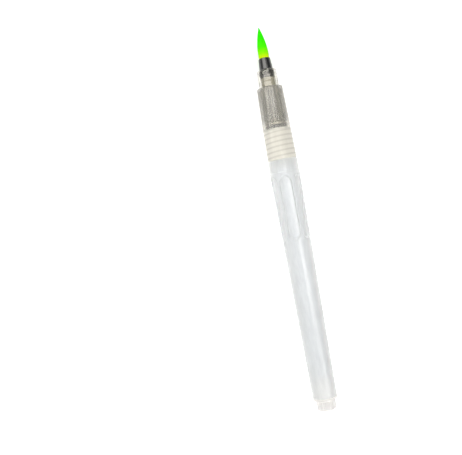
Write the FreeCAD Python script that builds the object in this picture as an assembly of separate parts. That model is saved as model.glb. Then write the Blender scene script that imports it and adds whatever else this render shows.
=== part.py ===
"""Refillable water brush pen, uncapped and lying on its side.

The pen's axis runs along X with the brush tip towards +X, and +Z is up. The origin is at the
middle of the pen's length, on the surface that the barrel rests on. All sizes are in millimetres.

Places along the pen are stations: the distance from the tail end, so station 0 is the tail and
station LENGTH is the brush tip. Outlines are lists of (station, radius, rounding) corners, turned
about the pen's axis.
"""

import FreeCAD, Part
import math
import os

Vector = FreeCAD.Vector

# ---- Stations along the pen, from the tail end ----
LENGTH = 149.2            # tail to brush tip
BARREL_REAR = 4.8         # rear rim of the barrel
POCKET_REAR = 66.0        # squeeze pockets in the grip zone
POCKET_FRONT = 91.2
FLARE = 92.2              # front edge of the barrel's widest ring, just ahead of the pockets
FLARE_LAND = 0.7          # length of that ring, which the pen rests on
SHOULDER = 97.2           # barrel shoulder that the grip section screws down to
NECK_END = 109.4          # front end of the threaded neck
GRIP_FRONT = 125.5        # front edge of the grip section
NOSE_LAND_END = 130.0     # front end of the land that the cap fits over
NOSE_FRONT = 132.4        # front edge of the clear nose
FERRULE_FRONT = 136.8     # mouth of the black ferrule

# ---- Radii ----
FLARE_R = 5.76            # widest part of the pen, so also the height of its axis
SHOULDER_R = 5.58
BARREL_GRIP_REAR_R = 5.36
BARREL_REAR_R = 4.60
BORE_FRONT_R = 4.35       # reservoir, tapering towards the tail
BORE_REAR_R = 3.75
NECK_BORE_R = 2.70
KNOB_R = 3.70             # the cap can be pushed onto the tail knob
GRIP_REAR_R = 5.56
GRIP_MIDDLE_R = 5.30
GRIP_FRONT_R = 4.92
NOSE_REAR_R = 3.95        # the nose tapers towards the front inside the grip section
NOSE_R = 3.80             # cylindrical land that the cap fits over
NOSE_FRONT_R = 3.62
FERRULE_REAR_R = 2.62
FERRULE_FRONT_R = 2.28
TUFT_R = 2.06             # fattest part of the brush, a few millimetres out of the ferrule

AXIS_Z = FLARE_R          # the flare ring touches the surface at Z = 0

# ---- Screw thread between neck and grip section ----
PITCH = 1.85
MALE_TURNS = 4.25
FEMALE_TURNS = 4.0
NECK_R = 4.10             # root of the neck's thread
MALE_CREST_R = 4.60
SOCKET_R = 4.76           # root of the thread in the grip section
FEMALE_CREST_R = 4.26
RIDGE_ROOT = 1.00         # width of a thread ridge along the pen, at its root
RIDGE_CREST = 0.48
SINK = 0.12               # how far a ridge is sunk into the wall that carries it
MALE_START = 99.6         # station of the first ridge's middle

# ---- Repeated details ----
POCKETS = 6
POCKET_TURN = -9.0        # degrees from straight up to the first pocket
POCKET_WIDTH = 3.8        # at the floor; the sloping walls make the mouth wider
POCKET_DEPTH = 0.55
POCKET_SLOPE = 1.5        # how far the walls lean outwards for each millimetre of height
SPLINES = 40              # grooves in the grip section's bore, which hold the nose still
SPLINE_DEPTH = 0.40
FLUTES = 8
FLUTE_R = 0.36
FLUTE_TURN = 22.5         # degrees from straight up to the first flute
COLLAR_REAR = 4.03        # rear face of the tail plug's collar, where the knob starts
COLLAR_R = 4.67           # the pen's tail rests on this collar
WICK_RIBS = 4             # ribs that centre the wick in its sleeve

# ---- Wick, seal and brush ----
WICK_R = 0.90
SEAL_R = 3.50             # middle of the sealing ring's section
SEAL_SECTION_R = 0.70
SLEEVE_BORE_R = 2.12
ROOT_R = 1.98             # bonded hair root
BALL_R = 1.93             # rounded foot on which the brush bends
BEND_STATION = FERRULE_FRONT + 0.30
SLIP = 0.03               # gap left at a push fit

# ---- Stack that the grip section clamps against the neck's end ----
SLEEVE_REAR = NECK_END + 2 * SEAL_SECTION_R + 0.04    # the seal lies between here and the neck
NOSE_REAR = SLEEVE_REAR + 0.80                        # rear face of the nose's flange
CLAMP_STEP = NOSE_REAR + 1.05                         # step in the grip section that stops the flange
WICK_REAR = NECK_END + 2.70
ROOT_REAR = GRIP_FRONT - 3.90
FLANGE_REAR = NOSE_FRONT - 2.30                       # rear face of the ferrule's flange
SKIRT_REAR = FLANGE_REAR - 0.90                       # rear end of the ferrule's short skirt


def x_at(station):
    """X coordinate of a station."""
    return station - LENGTH / 2


def at(station, radius):
    """Point above the pen's axis at this station and radius."""
    return Vector(x_at(station), 0, AXIS_Z + radius)


def barrel_radius(station):
    """Outer radius of the barrel's long taper, behind the flare."""
    if station > POCKET_REAR:
        share = (station - POCKET_REAR) / (FLARE - FLARE_LAND - POCKET_REAR)
        return BARREL_GRIP_REAR_R + share * (FLARE_R - BARREL_GRIP_REAR_R)
    share = (station - BARREL_REAR) / (POCKET_REAR - BARREL_REAR)
    return BARREL_REAR_R + share * (BARREL_GRIP_REAR_R - BARREL_REAR_R)


def about_axis(shape, degrees):
    """A copy of the shape turned about the pen's axis."""
    turned = shape.copy()
    turned.rotate(Vector(0, 0, AXIS_Z), Vector(1, 0, 0), degrees)
    return turned


def rounded_corner(before, corner, after, rounding):
    """Start, middle and end of the arc that rounds a corner."""
    back = (before - corner).normalize()
    ahead = (after - corner).normalize()
    half = back.getAngle(ahead) / 2
    reach = rounding / math.tan(half)
    middle_line = (back + ahead).normalize()
    centre = corner + middle_line * (rounding / math.sin(half))
    return corner + back * reach, centre - middle_line * rounding, corner + ahead * reach


def outline(corners):
    """Closed wire above the axis through (station, radius) or (station, radius, rounding) corners."""
    points = [at(c[0], c[1]) for c in corners]
    roundings = [c[2] if len(c) > 2 else 0 for c in corners]
    count = len(points)
    arcs = []
    for i, rounding in enumerate(roundings):
        if rounding:
            arcs.append(rounded_corner(points[i - 1], points[i], points[(i + 1) % count], rounding))
        else:
            arcs.append(None)
    edges = []
    for i in range(count):
        following = (i + 1) % count
        start = arcs[i][2] if arcs[i] else points[i]
        end = arcs[following][0] if arcs[following] else points[following]
        if arcs[i]:
            edges.append(Part.Arc(*arcs[i]).toShape())
        if start.distanceToPoint(end) > 1e-6:
            edges.append(Part.makeLine(start, end))
    return Part.Wire(edges)


def turned_part(corners):
    """Solid of revolution about the pen's axis."""
    return Part.Face(outline(corners)).revolve(Vector(0, 0, AXIS_Z), Vector(1, 0, 0), 360)


def rod(start, end, radius):
    """Plain cylinder between two stations."""
    return Part.makeCylinder(radius, end - start, at(start, 0), Vector(1, 0, 0))


def thread_ridge(first, turns, root_r, crest_r):
    """Right-handed helical ridge whose middle is at station first where it starts."""
    helix = Part.makeHelix(PITCH, PITCH * turns, (root_r + crest_r) / 2)
    corners = [Vector(root_r, 0, -RIDGE_ROOT / 2), Vector(crest_r, 0, -RIDGE_CREST / 2),
               Vector(crest_r, 0, RIDGE_CREST / 2), Vector(root_r, 0, RIDGE_ROOT / 2)]
    section = Part.makePolygon(corners + corners[:1])
    ridge = Part.Wire(helix.Edges).makePipeShell([section], True, True)
    if ridge.Volume < 0:
        ridge.reverse()
    ridge.rotate(Vector(0, 0, 0), Vector(0, 1, 0), 90)
    ridge.translate(at(first, 0))
    return ridge


def stadium(half_length, width, station, height, tilt):
    """Long hole's outline, with round ends, in a plane above the axis that follows the taper."""
    r = width / 2
    run = half_length - r
    arcs = [Part.Arc(Vector(run, -r, 0), Vector(run + r, 0, 0), Vector(run, r, 0)).toShape(),
            Part.makeLine(Vector(run, r, 0), Vector(-run, r, 0)),
            Part.Arc(Vector(-run, r, 0), Vector(-run - r, 0, 0), Vector(-run, -r, 0)).toShape(),
            Part.makeLine(Vector(-run, -r, 0), Vector(run, -r, 0))]
    wire = Part.Wire(arcs)
    wire.rotate(Vector(0, 0, 0), Vector(0, 1, 0), -tilt)
    wire.translate(at(station, height))
    return wire


def pocket_cutter():
    """Scoop for one squeeze pocket on top of the barrel. Its floor is curved like the barrel."""
    middle = (POCKET_REAR + POCKET_FRONT) / 2
    half = (POCKET_FRONT - POCKET_REAR) / 2
    tilt = math.degrees(math.atan((barrel_radius(POCKET_FRONT) - barrel_radius(POCKET_REAR)) / (2 * half)))
    mouth = barrel_radius(middle)
    rim = math.sqrt((mouth - POCKET_DEPTH) ** 2 - (POCKET_WIDTH / 2) ** 2)    # the floor's long edges
    planes = []
    for height in (mouth - 1.6, mouth + 0.6):
        half_length = half + POCKET_SLOPE * (height - mouth)
        width = POCKET_WIDTH + 2 * POCKET_SLOPE * (height - rim)
        planes.append(stadium(half_length, width, middle, height, tilt))
    prism = Part.makeLoft(planes, True, True)
    ends = (POCKET_REAR - 4, POCKET_FRONT + 4)
    taper = (barrel_radius(POCKET_FRONT) - barrel_radius(POCKET_REAR)) / (2 * half)
    floor_r = [mouth - POCKET_DEPTH + taper * (end - middle) for end in ends]
    floor = Part.makeCone(floor_r[0], floor_r[1], ends[1] - ends[0], at(ends[0], 0), Vector(1, 0, 0))
    return prism.cut(floor)


def barrel():
    """Soft squeeze reservoir with threaded neck, six pockets and a bore open at both ends."""
    bore_front = SHOULDER - 2.6
    body = turned_part([
        (BARREL_REAR, BORE_REAR_R),
        (BARREL_REAR, BARREL_REAR_R, 0.3),
        (POCKET_REAR, BARREL_GRIP_REAR_R),
        (FLARE - FLARE_LAND, FLARE_R),
        (FLARE, FLARE_R, 0.15),
        (FLARE + 0.35, SHOULDER_R + 0.04, 0.2),
        (SHOULDER, SHOULDER_R, 0.25),
        (SHOULDER, NECK_R),
        (NECK_END, NECK_R, 0.2),
        (NECK_END, NECK_BORE_R),
        (SHOULDER + 0.4, NECK_BORE_R, 0.4),
        (bore_front, BORE_FRONT_R, 1.2),
    ])
    cutter = pocket_cutter()
    step = 360 / POCKETS
    pockets = [about_axis(cutter, POCKET_TURN + step * i) for i in range(POCKETS)]
    body = body.cut(pockets)
    return body.fuse(thread_ridge(MALE_START, MALE_TURNS, NECK_R - SINK, MALE_CREST_R))


def tail_plug():
    """Fluted hollow knob with a collar, pushed into the barrel's tail and sealed there by two beads."""
    spigot_r = BORE_REAR_R - SLIP - 0.10
    bead_r = BORE_REAR_R - SLIP
    wall = 0.85
    body = turned_part([
        (0, 0),
        (0, KNOB_R, 0.75),
        (COLLAR_REAR, KNOB_R, 0.1),
        (COLLAR_REAR + 0.1, COLLAR_R, 0.18),
        (BARREL_REAR - 0.02, COLLAR_R, 0.18),
        (BARREL_REAR - 0.02, spigot_r),
        (BARREL_REAR + 1.4, spigot_r),
        (BARREL_REAR + 1.8, bead_r, 0.15),
        (BARREL_REAR + 2.2, spigot_r),
        (BARREL_REAR + 3.6, spigot_r),
        (BARREL_REAR + 4.0, bead_r, 0.15),
        (BARREL_REAR + 4.4, spigot_r),
        (BARREL_REAR + 6.2, spigot_r - 0.25, 0.15),
        (BARREL_REAR + 6.2, spigot_r - wall),
        (1.1, spigot_r - wall - 0.25, 0.5),
        (1.1, 0),
    ])
    flute = rod(-1.0, COLLAR_REAR - 0.5, FLUTE_R)
    flute.translate(Vector(0, 0, KNOB_R + 0.10))
    return body.cut([about_axis(flute, FLUTE_TURN + 360 / FLUTES * i) for i in range(FLUTES)])


def flow_plug():
    """Plug in the sleeve's rear end. A pinhole through its snout meters the water."""
    collar_r = SEAL_R - SEAL_SECTION_R - SLIP
    return turned_part([
        (NECK_END - 5.0, 0.30),
        (NECK_END - 5.0, 1.10, 0.25),
        (NECK_END - 1.2, 1.55, 0.4),
        (NECK_END - 0.4, 2.20, 0.2),
        (NECK_END + 0.1, 2.20),
        (NECK_END + 0.1, collar_r, 0.1),
        (SLEEVE_REAR - 0.04, collar_r),
        (SLEEVE_REAR - 0.04, SLEEVE_BORE_R - SLIP),
        (WICK_REAR + 1.0, SLEEVE_BORE_R - SLIP, 0.2),
        (WICK_REAR + 1.0, WICK_R + SLIP),
        (WICK_REAR - 0.04, WICK_R + SLIP),
        (WICK_REAR - 0.04, 0.30),
    ])


def seal_ring():
    """Rubber ring between the neck's end and the sleeve's flange."""
    middle = at((NECK_END + SLEEVE_REAR) / 2, 0)
    return Part.makeTorus(SEAL_R, SEAL_SECTION_R, middle, Vector(1, 0, 0))


def spline_cutter(start, end):
    """Star-shaped prism that cuts fine grooves along the grip section's bore."""
    points = []
    for i in range(2 * SPLINES):
        radius = NOSE_R + (SPLINE_DEPTH if i % 2 else 0)
        angle = math.pi * i / SPLINES
        points.append(at(start, 0) + Vector(0, radius * math.sin(angle), radius * math.cos(angle)))
    star = Part.Face(Part.makePolygon(points + points[:1]))
    return star.extrude(Vector(end - start, 0, 0))


def grip_section():
    """Sleeve that screws onto the neck. It is splined inside and holds the whole brush head."""
    rear = SHOULDER + 0.08
    body = turned_part([
        (rear, SOCKET_R, 0.15),
        (rear, GRIP_REAR_R, 0.2),
        (NECK_END, GRIP_MIDDLE_R),
        (GRIP_FRONT, GRIP_FRONT_R, 0.5),
        (GRIP_FRONT, NOSE_R + SLIP, 0.12),
        (CLAMP_STEP, NOSE_REAR_R + SLIP, 0.2),
        (CLAMP_STEP, 4.32),
        (NECK_END - 0.2, 4.32),
        (NECK_END - 1.0, SOCKET_R),
    ])
    body = body.cut(spline_cutter(CLAMP_STEP - 0.5, GRIP_FRONT - 1.0))
    return body.fuse(thread_ridge(MALE_START + PITCH / 2, FEMALE_TURNS, SOCKET_R + SINK, FEMALE_CREST_R))


def nose_collar():
    """Clear nose that the cap snaps onto. Its rear flange is clamped inside the grip section."""
    bead = GRIP_FRONT + 2.1
    bead_half = 0.22
    lip = FERRULE_REAR_R + SLIP
    return turned_part([
        (NOSE_REAR, 3.05),
        (NOSE_REAR, 4.26, 0.12),
        (CLAMP_STEP - 0.05, 4.26, 0.12),
        (CLAMP_STEP - 0.05, NOSE_REAR_R, 0.1),
        (GRIP_FRONT - 0.1, NOSE_R),
        (bead - bead_half, NOSE_R),
        (bead, NOSE_R + 0.10, 0.2),
        (bead + bead_half, NOSE_R),
        (NOSE_LAND_END, NOSE_R),
        (NOSE_FRONT, NOSE_FRONT_R, 0.65),
        (NOSE_FRONT, lip, 0.1),
        (NOSE_FRONT - 0.75, lip),
        (NOSE_FRONT - 0.75, 3.00),
    ])


def ferrule():
    """Black cone that grips the hair. Its flange and its short skirt are held inside the clear nose."""
    flange_front = NOSE_FRONT - 0.8
    skirt_r = 2.72
    return turned_part([
        (SKIRT_REAR, ROOT_R + SLIP),
        (SKIRT_REAR, skirt_r, 0.1),
        (FLANGE_REAR, skirt_r),
        (FLANGE_REAR, 2.94, 0.1),
        (flange_front, 2.94, 0.1),
        (flange_front, FERRULE_REAR_R, 0.05),
        (NOSE_FRONT + 0.1, FERRULE_REAR_R),
        (FERRULE_FRONT, FERRULE_FRONT_R, 0.12),
        (FERRULE_FRONT, ROOT_R + 0.10),
        (FERRULE_FRONT - 2.0, ROOT_R + SLIP),
    ])


def wick_sleeve():
    """Tube from the seal to the ferrule's skirt. It centres the wick and holds the hair root."""
    front = SKIRT_REAR - 0.04
    web = ROOT_REAR - 1.2
    sleeve = turned_part([
        (SLEEVE_REAR, SLEEVE_BORE_R, 0.1),
        (SLEEVE_REAR, 4.20, 0.12),
        (NOSE_REAR - 0.05, 4.20, 0.12),
        (NOSE_REAR - 0.05, 2.98, 0.1),
        (NOSE_REAR + 3.6, 2.98, 0.1),
        (NOSE_REAR + 4.0, 2.60, 0.2),
        (front, 2.60, 0.1),
        (front, ROOT_R + SLIP),
        (ROOT_REAR - 0.04, ROOT_R + SLIP),
        (ROOT_REAR - 0.04, WICK_R + SLIP),
        (web, WICK_R + SLIP),
        (web, SLEEVE_BORE_R),
    ])
    start = WICK_REAR + 1.1
    height = SLEEVE_BORE_R + 0.2 - WICK_R - SLIP
    rib = Part.makeBox(web + 0.1 - start, 0.5, height, at(start, WICK_R + SLIP) - Vector(0, 0.25, 0))
    return sleeve.fuse([about_axis(rib, 360 / WICK_RIBS * i) for i in range(WICK_RIBS)])


def feed_wick():
    """Fibre rod that carries water from the flow plug to the hair root."""
    return rod(WICK_REAR, ROOT_REAR - 0.06, WICK_R)


def bristle_root():
    """Bonded hair root, from the end of the wick to just inside the ferrule's mouth."""
    return turned_part([
        (ROOT_REAR, 0),
        (ROOT_REAR, ROOT_R, 0.2),
        (FERRULE_FRONT - 2.0, ROOT_R, 0.3),
        (FERRULE_FRONT - 2.0, 0),
    ])


def bristle_tuft():
    """Free part of the brush: a round foot, a soft belly and a fine point."""
    foot = [at(BEND_STATION - BALL_R, 0),
            at(BEND_STATION - BALL_R * math.cos(math.pi / 4), BALL_R * math.sin(math.pi / 4)),
            at(BEND_STATION, BALL_R)]
    belly = Part.BSplineCurve()
    belly.interpolate([foot[2], at(BEND_STATION + 2.4, TUFT_R), at(BEND_STATION + 6.2, 1.74),
                       at(BEND_STATION + 9.6, 1.00), at(LENGTH - 0.15, 0.12)])
    tip = Part.makeLine(at(LENGTH - 0.15, 0.12), at(LENGTH, 0))
    base = Part.makeLine(at(LENGTH, 0), foot[0])
    wire = Part.Wire([Part.Arc(*foot).toShape(), belly.toShape(), tip, base])
    return Part.Face(wire).revolve(Vector(0, 0, AXIS_Z), Vector(1, 0, 0), 360)


SUBPARTS = {
    "barrel": barrel,
    "tail_plug": tail_plug,
    "flow_plug": flow_plug,
    "seal_ring": seal_ring,
    "grip_section": grip_section,
    "nose_collar": nose_collar,
    "ferrule": ferrule,
    "wick_sleeve": wick_sleeve,
    "feed_wick": feed_wick,
    "bristle_root": bristle_root,
    "bristle_tuft": bristle_tuft,
}


def main():
    os.makedirs("parts", exist_ok=True)
    for name, build in SUBPARTS.items():
        shape = build()
        print(name, "valid" if shape.isValid() else "NOT VALID",
              "solids", len(shape.Solids), "volume", round(shape.Volume, 2))
        shape.exportStep(f"parts/{name}.step")


main()
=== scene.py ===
"""Looks of the water brush pen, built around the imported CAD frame.

The pen lies along X with its tuft towards +X. Lengths are in metres, and MM is a millimetre.
"""

import math
import random

import bpy
from mathutils import Matrix, Vector


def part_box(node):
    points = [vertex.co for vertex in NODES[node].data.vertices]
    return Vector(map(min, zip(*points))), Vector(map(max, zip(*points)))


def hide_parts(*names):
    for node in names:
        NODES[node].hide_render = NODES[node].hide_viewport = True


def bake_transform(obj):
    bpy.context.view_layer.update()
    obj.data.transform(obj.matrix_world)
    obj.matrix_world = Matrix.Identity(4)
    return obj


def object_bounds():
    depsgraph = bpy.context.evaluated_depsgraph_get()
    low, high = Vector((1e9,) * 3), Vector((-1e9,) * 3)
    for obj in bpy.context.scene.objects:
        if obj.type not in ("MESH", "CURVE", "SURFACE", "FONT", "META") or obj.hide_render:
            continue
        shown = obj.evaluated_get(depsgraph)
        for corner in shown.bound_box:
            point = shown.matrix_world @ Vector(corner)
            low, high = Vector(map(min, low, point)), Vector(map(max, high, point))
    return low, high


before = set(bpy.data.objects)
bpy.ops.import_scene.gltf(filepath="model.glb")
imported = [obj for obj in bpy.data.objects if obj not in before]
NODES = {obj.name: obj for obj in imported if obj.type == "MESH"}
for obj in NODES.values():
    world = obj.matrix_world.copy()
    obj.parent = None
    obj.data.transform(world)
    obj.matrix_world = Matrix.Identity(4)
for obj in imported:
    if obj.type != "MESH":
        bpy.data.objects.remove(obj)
cad_low, cad_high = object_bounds()

MM = 0.001
AXIS_Z = (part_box("ferrule")[0].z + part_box("ferrule")[1].z) / 2
THREAD_PITCH = 1.85 * MM

# ---- Camera: looks straight down, with the pen leaning left and lying right of the middle ----
VIEW_HEIGHT = 0.240            # above the pen's axis
VIEW_WIDTH = 0.1779            # what the frame shows across, at the height of the axis
LEAN = math.radians(10.2)      # how far the pen's tip leans to the left in the frame
PEN_RIGHT = 0.0238             # from the middle of the frame to the middle of the pen
PEN_ABOVE = 0.0037
SENSOR_WIDTH = 36              # the camera's own unit

# ---- Tuft ----
HAIRS = 300
HAIR_RADIUS = 0.075 * MM
HAIR_SIDES = 5
HAIR_RINGS = 16
CORE_SIDES = 72
CORE_RINGS = 40
CORE_LENGTH = 0.985            # share of the tuft's length
BELLY = 0.26                   # where the tuft is fattest, as a share of its length
ROOT_RADIUS = 1.86 * MM
BELLY_RADIUS = 2.02 * MM

# ---- Finishes ----
STREAK_SCALE = 900             # flow marks of the moulding, drawn out along the pen
STREAK_STRETCH = (0.25, 1, 1)
PEEL_SCALE = 5200              # fine unevenness of a moulded surface
GRAIN_SCALE = 1400             # grain of the opaque pieces
GROOVES = 56                   # around the inside of the grip section
LINE_SHADE = (0.20, 0.22, 0.26)  # painted shade, the colour a groove or ridge takes the clear plastic towards

# ---- Studio ----
LIGHT_HEIGHT = 0.50
FLOOR_HALF = 3.0
WARM = (1.0, 0.98, 0.94)
WHITE = (1.0, 1.0, 1.0)


class Shader:
    """A node material under construction."""

    def __init__(self, name):
        self.material = bpy.data.materials.new(name)
        self.material.use_nodes = True
        self.tree = self.material.node_tree
        self.tree.nodes.clear()
        self.output = self.tree.nodes.new("ShaderNodeOutputMaterial")

    def feed(self, socket, value):
        """Links a socket to an output, or gives it a plain value."""
        if isinstance(value, bpy.types.NodeSocket):
            self.tree.links.new(value, socket)
        elif isinstance(value, tuple) and socket.type == "RGBA":
            socket.default_value = (*value, 1.0)
        else:
            socket.default_value = value

    def add(self, kind, inputs=None, out=0, **settings):
        """Adds a node and returns one of its outputs. Inputs are named or numbered."""
        node = self.tree.nodes.new("ShaderNode" + kind)
        for name, value in settings.items():
            setattr(node, name, value)
        for name, value in (inputs or {}).items():
            self.feed(node.inputs[name], value)
        return node.outputs[out]

    def place(self, stretch=(1, 1, 1)):
        """Coordinates that ride with the piece, stretched along each axis."""
        here = self.add("TexCoord", out="Object")
        return self.add("Mapping", {"Vector": here, "Scale": stretch})

    def noise(self, scale, stretch=(1, 1, 1), detail=4.0, roughness=0.55):
        inputs = {"Vector": self.place(stretch), "Scale": scale, "Detail": detail, "Roughness": roughness}
        return self.add("TexNoise", inputs)

    def ramp(self, value, low, high):
        """Stretches a value from 0..1 to low..high."""
        return self.add("MapRange", {"Value": value, "To Min": low, "To Max": high}, clamp=True)

    def between(self, value, colour_a, colour_b):
        """Mixes two colours by a value."""
        inputs = {0: value, 6: colour_a, 7: colour_b}
        return self.add("Mix", inputs, out=2, data_type="RGBA")

    def bump(self, height, distance, strength=1.0):
        return self.add("Bump", {"Height": height, "Distance": distance, "Strength": strength})

    def wave(self, turns, per_metre, low, high):
        """Waves around the pen's axis, or along it, or both as a helix, from low to high and cut off at 0."""
        split = self.tree.nodes.new("ShaderNodeSeparateXYZ")
        self.feed(split.inputs[0], self.add("TexCoord", out="Object"))
        up = self.add("Math", {0: split.outputs[2], 1: AXIS_Z}, operation="SUBTRACT")
        angle = self.add("Math", {0: split.outputs[1], 1: up}, operation="ARCTAN2")
        around = self.add("Math", {0: angle, 1: turns}, operation="MULTIPLY")
        along = self.add("Math", {0: split.outputs[0], 1: per_metre * 2 * math.pi}, operation="MULTIPLY")
        phase = self.add("Math", {0: around, 1: along}, operation="ADD")
        wave = self.add("Math", {0: phase}, operation="COSINE")
        height = self.add("MapRange", {"Value": wave, "From Min": -1.0, "To Min": low, "To Max": high})
        return self.add("Math", {0: height, 1: 0.0}, operation="MAXIMUM")

    def zone(self, start, stop):
        """Rises from 0 at one place along the pen to 1 at another."""
        x = self.add("SeparateXYZ", {0: self.add("TexCoord", out="Object")})
        return self.add("MapRange", {"Value": x, "From Min": start, "From Max": stop}, clamp=True)

    def times(self, a, b):
        return self.add("Math", {0: a, 1: b}, operation="MULTIPLY")

    def mix(self, share, a, b):
        return self.add("MixShader", {0: share, 1: a, 2: b})

    def finish(self, surface):
        self.tree.links.new(surface, self.output.inputs["Surface"])
        return self.material


def see_through(name, tint, milk, haze, edge_haze, gloss, shade, ior=1.49, denser=None, lines=None):
    """Moulded plastic that is part clear and part milky, and milkier where the wall is seen aslant.

    Tint is the colour of the clear part and milk that of the milky part. Haze and edge_haze are the milky
    part's share, face on and aslant. Gloss is the roughness, and shade is what the shadow lets through.
    Denser and lines are functions of the shader that give a share from 0 to 1: how much milkier the plastic
    gets, and how much painted shade darkens it in lines.
    """
    s = Shader(name)
    streaks = s.noise(STREAK_SCALE, STREAK_STRETCH)
    peel = s.noise(PEEL_SCALE, detail=2.0)
    roughness = s.ramp(streaks, gloss * 0.75, gloss * 1.3)
    normal = s.bump(peel, 0.0015 * MM, 0.3)
    colour = s.between(streaks, tuple(c * 0.96 for c in milk), milk)
    facing = s.add("LayerWeight", {"Blend": 0.35}, out="Facing")
    glassy = s.between(streaks, tuple(c * 0.98 for c in tint), tint)
    # painted shade: where the lines fall, both the clear and the milky part are darkened
    if lines:
        dark = lines(s)
        glassy = s.between(dark, glassy, LINE_SHADE)
        colour = s.between(dark, colour, tuple(c * 0.45 for c in milk))
    surface = {"Roughness": roughness, "IOR": ior, "Normal": normal}
    clear = s.add("BsdfPrincipled", {"Base Color": glassy, "Transmission Weight": 1.0, **surface})
    skin = s.add("BsdfPrincipled", {"Base Color": colour, **surface})
    glow = s.add("BsdfTranslucent", {"Color": colour, "Normal": normal})
    cloudy = s.mix(0.4, skin, glow)
    mottle = s.ramp(streaks, -0.05, 0.05)
    cloud = s.add("Math", {0: mottle, 1: s.ramp(facing, haze, edge_haze)}, operation="ADD")
    if denser:
        cloud = s.add("Math", {0: cloud, 1: denser(s)}, operation="ADD", use_clamp=True)
    body = s.mix(cloud, clear, cloudy)
    lets_light = s.add("BsdfTransparent", {"Color": shade})
    shadow_ray = s.add("LightPath", out="Is Shadow Ray")
    return s.finish(s.mix(shadow_ray, body, lets_light))


def barrel_milky():
    """Soft milky polyethylene of the squeeze barrel."""
    return see_through(
        "barrel_milky", tint=(0.72, 0.74, 0.765), milk=(0.87, 0.88, 0.88), haze=0.34, edge_haze=0.95,
        gloss=0.12, shade=(0.90, 0.90, 0.90))


def plug_translucent():
    """Glossy plug, milkier where its collar lies against the barrel's end."""
    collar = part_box("barrel")[0].x

    def milkier(s):
        return s.times(s.zone(collar - 1.4 * MM, collar - 0.9 * MM), 0.6)

    return see_through(
        "plug_translucent", tint=(0.76, 0.76, 0.77), milk=(0.95, 0.94, 0.925), haze=0.30, edge_haze=0.85,
        gloss=0.14, shade=(0.90, 0.90, 0.90), denser=milkier)


def section_frosted():
    """Frosted plastic with fine grooves, milkier over the screw thread, with painted shade lines for the
    grooves and for the thread's ridges behind it.
    """
    neck_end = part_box("seal_ring")[0].x

    def milkier(s):
        return s.times(s.zone(neck_end, neck_end - 1.2 * MM), 0.50)

    # painted shade: dark lines along the grooves inside the grip, and a dark helix over the thread's ridges
    def painted_line_shade(s):
        grooved = s.zone(neck_end + 1.6 * MM, neck_end + 2.2 * MM)
        grooves = s.times(s.wave(GROOVES, 0, -0.5, 0.95), grooved)
        threaded = s.zone(neck_end, neck_end - 0.3 * MM)
        ridges = s.times(s.wave(1, 1 / THREAD_PITCH, -0.4, 0.36), threaded)
        return s.add("Math", {0: grooves, 1: ridges}, operation="ADD")

    return see_through(
        "section_frosted", tint=(0.88, 0.865, 0.81), milk=(0.89, 0.875, 0.825), haze=0.14, edge_haze=0.50,
        gloss=0.12, shade=(0.90, 0.89, 0.87), ior=1.40, denser=milkier, lines=painted_line_shade)


def nose_clear():
    return see_through(
        "nose_clear", tint=(0.80, 0.79, 0.74), milk=(0.66, 0.64, 0.58), haze=0.03, edge_haze=0.16,
        gloss=0.06, shade=(0.90, 0.90, 0.88))


def sleeve_translucent():
    """Translucent tube, creamier where it holds the hair root."""
    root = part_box("bristle_root")[0].x

    def milkier(s):
        return s.times(s.zone(root - 0.2 * MM, root + 0.3 * MM), 0.75)

    return see_through(
        "sleeve_translucent", tint=(0.72, 0.72, 0.70), milk=(0.48, 0.46, 0.40), haze=0.05, edge_haze=0.30,
        gloss=0.16, shade=(0.84, 0.84, 0.82), denser=milkier)


def solid_plastic(name, colour, roughness, grain=0.004 * MM, spread=0.12, specular=0.5):
    """Opaque moulded plastic or rubber with a fine surface grain."""
    s = Shader(name)
    clouds = s.noise(GRAIN_SCALE)
    dark = tuple(c * (1 - spread) for c in colour)
    light = tuple(min(c * (1 + spread), 1.0) for c in colour)
    inputs = {
        "Base Color": s.between(clouds, dark, light),
        "Roughness": s.ramp(s.noise(GRAIN_SCALE * 2.5), roughness * 0.8, roughness * 1.25),
        "Normal": s.bump(s.noise(GRAIN_SCALE * 6, detail=2.0), grain, 0.5),
        "Specular IOR Level": specular,
    }
    return s.finish(s.add("BsdfPrincipled", inputs))


def ferrule_black():
    return solid_plastic("ferrule_black", (0.004, 0.004, 0.0035), 0.24, specular=1.0)


def seal_rubber():
    return solid_plastic("seal_rubber", (0.020, 0.024, 0.034), 0.55, grain=0.02 * MM)


def insert_white():
    return solid_plastic("insert_white", (0.80, 0.78, 0.71), 0.40, spread=0.05)


def fibres(name, dark, light, across=9000):
    """Bundled fibres that run along the pen."""
    s = Shader(name)
    strands = s.noise(across, (0.03, 1, 1), detail=3.0, roughness=0.7)
    inputs = {
        "Base Color": s.between(s.ramp(strands, -0.3, 1.3), dark, light),
        "Roughness": s.ramp(strands, 0.5, 0.8),
        "Normal": s.bump(strands, 0.05 * MM, 0.7),
    }
    return s.finish(s.add("BsdfPrincipled", inputs))


def wick_fibre():
    return fibres("wick_fibre", (0.40, 0.37, 0.30), (0.58, 0.54, 0.45))


def root_cream():
    return fibres("root_cream", (0.44, 0.41, 0.32), (0.58, 0.55, 0.47), 12000)


FINISHES = {
    "barrel": barrel_milky,
    "tail_plug": plug_translucent,
    "grip_section": section_frosted,
    "nose_collar": nose_clear,
    "ferrule": ferrule_black,
    "seal_ring": seal_rubber,
    "flow_plug": insert_white,
    "wick_sleeve": sleeve_translucent,
    "feed_wick": wick_fibre,
    "bristle_root": root_cream,
}


def dress_cad_parts():
    for node, finish in FINISHES.items():
        material = finish()
        for slot in NODES[node].material_slots:
            slot.material = material


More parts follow.
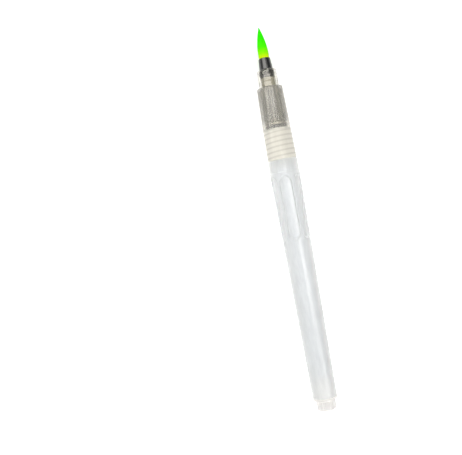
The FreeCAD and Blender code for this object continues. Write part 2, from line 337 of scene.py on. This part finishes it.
def tuft_green():
    """Bright nylon hair: yellow where it leaves the ferrule, and green from a quarter of its length on, with
    a painted glow.
    """
    s = Shader("tuft_green")
    along = s.add("Attribute", out="Fac", attribute_name="along")
    strands = s.noise(7000, (0.04, 1, 1), detail=3.0)
    wander = s.ramp(strands, -0.05, 0.05)
    place = s.add("Math", {0: along, 1: wander}, operation="ADD")
    ramp = s.tree.nodes.new("ShaderNodeValToRGB")
    s.feed(ramp.inputs[0], place)
    stops = ramp.color_ramp.elements
    colours = [
        (0.00, (0.80, 0.78, 0.06)),
        (0.14, (0.76, 0.93, 0.01)),
        (0.26, (0.37, 0.96, 0.003)),
        (0.42, (0.105, 0.97, 0.002)),
        (0.70, (0.045, 0.95, 0.003)),
        (1.00, (0.045, 0.90, 0.004)),
    ]
    stops[0].position, stops[0].color = colours[0][0], (*colours[0][1], 1)
    stops[1].position, stops[1].color = colours[-1][0], (*colours[-1][1], 1)
    for position, colour in colours[1:-1]:
        stop = stops.new(position)
        stop.color = (*colour, 1)
    colour = ramp.outputs[0]
    inputs = {
        "Base Color": colour,
        "Roughness": s.ramp(strands, 0.45, 0.7),
        "Specular IOR Level": 0.06,
        # painted glow: the hair gives off a little light in its own colour, though it is no lamp
        "Emission Color": colour,
        "Emission Strength": 0.10,
        "Normal": s.bump(strands, 0.03 * MM, 0.6),
    }
    skin = s.add("BsdfPrincipled", inputs)
    glow = s.add("BsdfTranslucent", {"Color": colour})
    return s.finish(s.mix(0.3, skin, glow))


def tuft_profile():
    """The tuft's root, its length, and its radius as a function of the share of that length."""
    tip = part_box("bristle_tuft")[1].x
    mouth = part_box("ferrule")[1].x
    root = mouth - 1.6 * MM
    length = tip - root

    def radius(share):
        if share <= BELLY:
            swell = 0.5 - 0.5 * math.cos(share / BELLY * math.pi)
            return ROOT_RADIUS + (BELLY_RADIUS - ROOT_RADIUS) * swell
        rest = (share - BELLY) / (1 - BELLY)
        return BELLY_RADIUS * (1 - rest ** 1.75) ** 0.92

    return root, length, radius


def make_tuft():
    """One mesh of separate tapered hairs over a grooved core, all drawn together into a point."""
    rng = random.Random(7)
    root, length, radius = tuft_profile()
    vertices, faces, along = [], [], []

    def tube(path, radii, sides):
        """Closed tapered tube along a path, with one radius for each of its points."""
        first = len(vertices)
        for i, (point, r) in enumerate(zip(path, radii)):
            ahead = (path[min(i + 1, len(path) - 1)] - path[max(i - 1, 0)]).normalized()
            side = ahead.cross(Vector((0, 0, 1))).normalized()
            up = side.cross(ahead)
            for k in range(sides):
                a = 2 * math.pi * k / sides
                vertices.append(point + side * (r * math.cos(a)) + up * (r * math.sin(a)))
                along.append((point.x - root) / length)
        for i in range(len(path) - 1):
            for k in range(sides):
                a, b = first + i * sides + k, first + i * sides + (k + 1) % sides
                faces.append((a, b, b + sides, a + sides))
        faces.append(tuple(first + k for k in reversed(range(sides))))
        faces.append(tuple(first + (len(path) - 1) * sides + k for k in range(sides)))

    shares = [i / (CORE_RINGS - 1) * CORE_LENGTH for i in range(CORE_RINGS)]
    centre_line = [Vector((root + length * share, 0, AXIS_Z)) for share in shares]
    core_radii = [max(radius(share) * 0.95, 0.02 * MM) for share in shares]
    tube(centre_line, core_radii, CORE_SIDES)

    for h in range(HAIRS):
        around = 2 * math.pi * (h + rng.uniform(-0.4, 0.4)) / HAIRS
        end = rng.uniform(0.62, 1.0) if h % 3 else rng.uniform(0.94, 1.0)
        drift = rng.uniform(-0.10, 0.10)
        depth = rng.uniform(0.93, 1.0)
        path, radii = [], []
        for i in range(HAIR_RINGS):
            share = end * i / (HAIR_RINGS - 1)
            turn = around + drift * share
            out = max(radius(share) * depth - HAIR_RADIUS * 0.4, 0)
            y = out * math.sin(turn)
            z = AXIS_Z + out * math.cos(turn)
            path.append(Vector((root + length * share, y, z)))
            radii.append(HAIR_RADIUS * (1 - (i / (HAIR_RINGS - 1)) ** 3 * 0.85))
        tube(path, radii, HAIR_SIDES)

    mesh = bpy.data.meshes.new("tuft_hairs")
    mesh.from_pydata(vertices, [], faces)
    mesh.shade_smooth()
    mesh.attributes.new("along", "FLOAT", "POINT").data.foreach_set("value", along)
    tuft = bpy.data.objects.new("tuft_hairs", mesh)
    bpy.context.scene.collection.objects.link(tuft)
    mesh.materials.append(tuft_green())
    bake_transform(tuft)
    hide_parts("bristle_tuft")


def make_floor():
    """Plain white table that glows a little, so that it stays white under the pen."""
    mesh = bpy.data.meshes.new("floor")
    half = FLOOR_HALF
    corners = [(-half, -half, 0), (half, -half, 0), (half, half, 0), (-half, half, 0)]
    mesh.from_pydata(corners, [], [(0, 1, 2, 3)])
    floor = bpy.data.objects.new("floor", mesh)
    bpy.context.scene.collection.objects.link(floor)
    floor.location.z = cad_low.z - 0.05 * MM
    s = Shader("floor_white")
    paper = s.between(s.noise(40), (0.86, 0.86, 0.86), (0.88, 0.88, 0.88))
    inputs = {
        "Base Color": paper,
        "Roughness": 0.8,
        "Specular IOR Level": 0.1,
        "Emission Color": WHITE,
        "Emission Strength": 0.38,
    }
    mesh.materials.append(s.finish(s.add("BsdfPrincipled", inputs)))


def area_light(name, x, y, width, length, watts, turn, colour):
    """Soft box that faces straight down. Its length runs along the pen before it is turned."""
    light = bpy.data.lights.new(name, "AREA")
    light.shape = "RECTANGLE"
    light.size, light.size_y = length, width
    light.energy = watts
    light.color = colour
    lamp = bpy.data.objects.new(name, light)
    bpy.context.scene.collection.objects.link(lamp)
    lamp.location = (x, y, LIGHT_HEIGHT)
    lamp.rotation_euler.z = turn


def light_studio():
    """Dim room with four soft boxes in one plane above the pen.

    The strip box gives the barrel its long slanting highlight. The front box is seen in the ferrule and the
    cross box in the nose. The tail box only fills the shade: no face that looks up reflects it.
    """
    world = bpy.data.worlds.new("studio")
    bpy.context.scene.world = world
    world.use_nodes = True
    tree = world.node_tree
    tree.nodes.clear()
    node = tree.nodes.new
    ray = node("ShaderNodeTexCoord")
    split = node("ShaderNodeSeparateXYZ")
    ramp = node("ShaderNodeValToRGB")
    background = node("ShaderNodeBackground")
    output = node("ShaderNodeOutputWorld")
    tree.links.new(ray.outputs["Generated"], split.inputs[0])
    tree.links.new(split.outputs["Z"], ramp.inputs[0])
    tree.links.new(ramp.outputs[0], background.inputs["Color"])
    tree.links.new(background.outputs[0], output.inputs["Surface"])
    stops = ramp.color_ramp.elements
    stops[0].position, stops[0].color = 0.0, (0.42, 0.43, 0.45, 1)
    stops[1].position, stops[1].color = 1.0, (0.17, 0.17, 0.18, 1)
    dim = stops.new(0.12)
    dim.color = (0.14, 0.15, 0.17, 1)
    background.inputs["Strength"].default_value = 1.0
    area_light("strip_box", 0.0, -0.13, 0.13, 1.0, watts=1.5, turn=math.radians(50), colour=WARM)
    area_light("front_box", 0.380, 0.275, 0.61, 0.26, watts=1.5, turn=0.0, colour=WARM)
    area_light("cross_box", 0.205, 0.800, 2.20, 0.11, watts=3.4, turn=0.0, colour=WARM)
    area_light("tail_box", -0.75, 0.0, 1.60, 0.50, watts=3.8, turn=0.0, colour=WHITE)


def place_camera():
    """Looks straight down, with the pen's tip up and to the left."""
    up = Vector((math.cos(LEAN), -math.sin(LEAN), 0))
    right = Vector((-math.sin(LEAN), -math.cos(LEAN), 0))
    centre = Vector((0, 0, AXIS_Z)) - right * PEN_RIGHT - up * PEN_ABOVE
    data = bpy.data.cameras.new("camera")
    data.sensor_width = SENSOR_WIDTH
    data.lens = SENSOR_WIDTH * VIEW_HEIGHT / VIEW_WIDTH
    data.clip_start, data.clip_end = 0.01, 20
    camera = bpy.data.objects.new("camera", data)
    bpy.context.scene.collection.objects.link(camera)
    turn = Matrix((right, up, Vector((0, 0, 1)))).transposed().to_4x4()
    camera.matrix_world = Matrix.Translation(centre + Vector((0, 0, VIEW_HEIGHT))) @ turn
    bpy.context.scene.camera = camera


dress_cad_parts()
make_tuft()
make_floor()
light_studio()
place_camera()
bpy.context.scene.view_settings.view_transform = "Standard"
bpy.context.scene.cycles.max_bounces = 24
bpy.context.scene.cycles.transmission_bounces = 20
bpy.context.scene.cycles.transparent_max_bounces = 24
